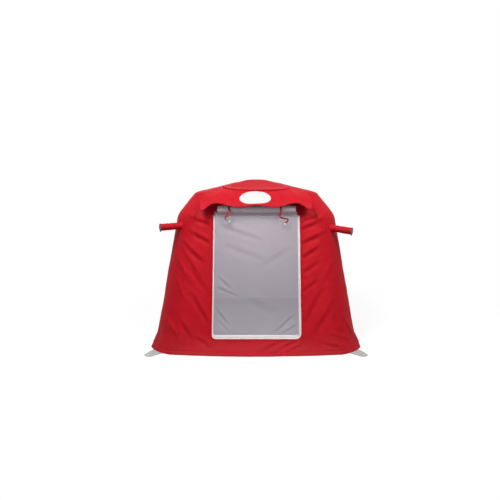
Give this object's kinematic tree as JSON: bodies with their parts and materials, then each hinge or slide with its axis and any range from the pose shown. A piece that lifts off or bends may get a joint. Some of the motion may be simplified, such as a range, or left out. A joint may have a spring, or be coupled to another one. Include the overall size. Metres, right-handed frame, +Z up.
{
  "type": "inflatable tent",
  "caption": "Inflatable tent with a crossed air frame, cloth shell, rain flap, rolled storm door, zipped mesh door and capped filler hoses.",
  "frame": {"origin": "on the ground under the middle of the tent", "axes": "+Z up, the door faces -Y, +X to the right as seen from the front"},
  "size_m": [2.1922, 2.1044, 1.706],
  "materials": {
    "red_cloth": "matte",
    "air_tube": "satin",
    "ground_sheet": "satin",
    "patch": "matte",
    "lining": "satin",
    "ribbon": "matte",
    "toggle": "satin",
    "zip_white": "satin",
    "mesh": "matte",
    "zip_metal": "satin",
    "valve_black": "satin",
    "cap_red": "satin",
    "valve_grey": "satin",
    "steel": "satin",
    "tab": "matte"
  },
  "bodies": {
    "tent": {"corner_cover_front_right": "red_cloth", "corner_cover_rear_right": "red_cloth", "corner_cover_rear_left": "red_cloth", "corner_cover_front_left": "red_cloth", "wall_left": "red_cloth", "wall_right": "red_cloth", "wall_rear": "red_cloth", "front_wall_left": "red_cloth", "front_wall_right": "red_cloth", "front_sill": "red_cloth", "shoulder_panel_front": "red_cloth", "shoulder_panel_right": "red_cloth", "shoulder_panel_rear": "red_cloth", "shoulder_panel_left": "red_cloth", "roof_panel_front": "red_cloth", "roof_panel_right": "red_cloth", "roof_panel_rear": "red_cloth", "roof_panel_left": "red_cloth", "crown_patch": "red_cloth", "rain_flap": "red_cloth", "filler_hose_left": "red_cloth", "filler_hose_right": "red_cloth", "leg_tube_front_right": "air_tube", "leg_tube_rear_right": "air_tube", "leg_tube_rear_left": "air_tube", "leg_tube_front_left": "air_tube", "roof_cross_tube": "air_tube", "ground_sheet": "ground_sheet", "oval_patch": "patch", "rolled_storm_door": "lining", "ribbon_tie_left": "ribbon", "ribbon_tie_right": "ribbon", "tie_toggle_left": "toggle", "tie_toggle_right": "toggle", "zip_half_wall": "zip_white", "valve_body_left": "valve_black", "valve_body_right": "valve_black", "valve_spring_left": "steel", "valve_spring_right": "steel", "peg_eyelet_front_right": "steel", "peg_eyelet_rear_right": "steel", "peg_eyelet_rear_left": "steel", "peg_eyelet_front_left": "steel", "peg_tab_front_right": "tab", "peg_tab_rear_right": "tab", "peg_tab_rear_left": "tab", "peg_tab_front_left": "tab"},
    "mesh_door": {"mesh_door": "mesh", "zip_half_door": "zip_white", "zip_run_door": "zip_white"},
    "zip_slider": {"zip_slider": "zip_metal"},
    "zip_pull_outer": {"zip_pull_outer": "zip_metal"},
    "zip_pull_inner": {"zip_pull_inner": "zip_metal"},
    "valve_plunger_left": {"valve_plunger_left": "valve_grey"},
    "valve_plunger_right": {"valve_plunger_right": "valve_grey"},
    "valve_cap_left": {"valve_cap_left": "cap_red"},
    "valve_cap_right": {"valve_cap_right": "cap_red"}
  },
  "joints": [
    {"name": "door_swing", "type": "hinge", "parent": "tent", "child": "mesh_door", "pos_m": [0, -0.78056, 1.3105], "axis": [1, 0, 0], "range_deg": [0, 85], "deforming": ["zip_run_door"]},
    {"name": "zip_slider_run", "type": "slide", "parent": "tent", "child": "zip_slider", "axis": [0, 0.1404, 0.9901], "range_m": [-0.53, 0.54]},
    {"name": "zip_pull_outer_hinge", "type": "hinge", "parent": "zip_slider", "child": "zip_pull_outer", "pos_m": [0.425, -0.86635, 0.74172], "axis": [-1, 0, 0], "range_deg": [0, 170]},
    {"name": "zip_pull_inner_hinge", "type": "hinge", "parent": "zip_slider", "child": "zip_pull_inner", "pos_m": [0.425, -0.85625, 0.74028], "axis": [1, 0, 0], "range_deg": [-7, 160]},
    {"name": "valve_plunger_left_press", "type": "slide", "parent": "tent", "child": "valve_plunger_left", "axis": [0.8651, 0.4995, 0.0454], "range_m": [0, 0.004], "stiffness_N_per_m": 400, "deforming": ["valve_spring_left"]},
    {"name": "valve_plunger_right_press", "type": "slide", "parent": "tent", "child": "valve_plunger_right", "axis": [-0.8596, 0.4963, 0.1219], "range_m": [0, 0.004], "stiffness_N_per_m": 400, "deforming": ["valve_spring_right"]},
    {"name": "valve_cap_left_hinge", "type": "hinge", "parent": "tent", "child": "valve_cap_left", "pos_m": [-0.94898, -0.81156, 1.15483], "axis": [0.5, -0.866, 0], "range_deg": [0, 150]},
    {"name": "valve_cap_right_hinge", "type": "hinge", "parent": "tent", "child": "valve_cap_right", "pos_m": [0.94684, -0.81117, 1.11596], "axis": [0.5, 0.866, 0], "range_deg": [0, 150]}
  ]
}
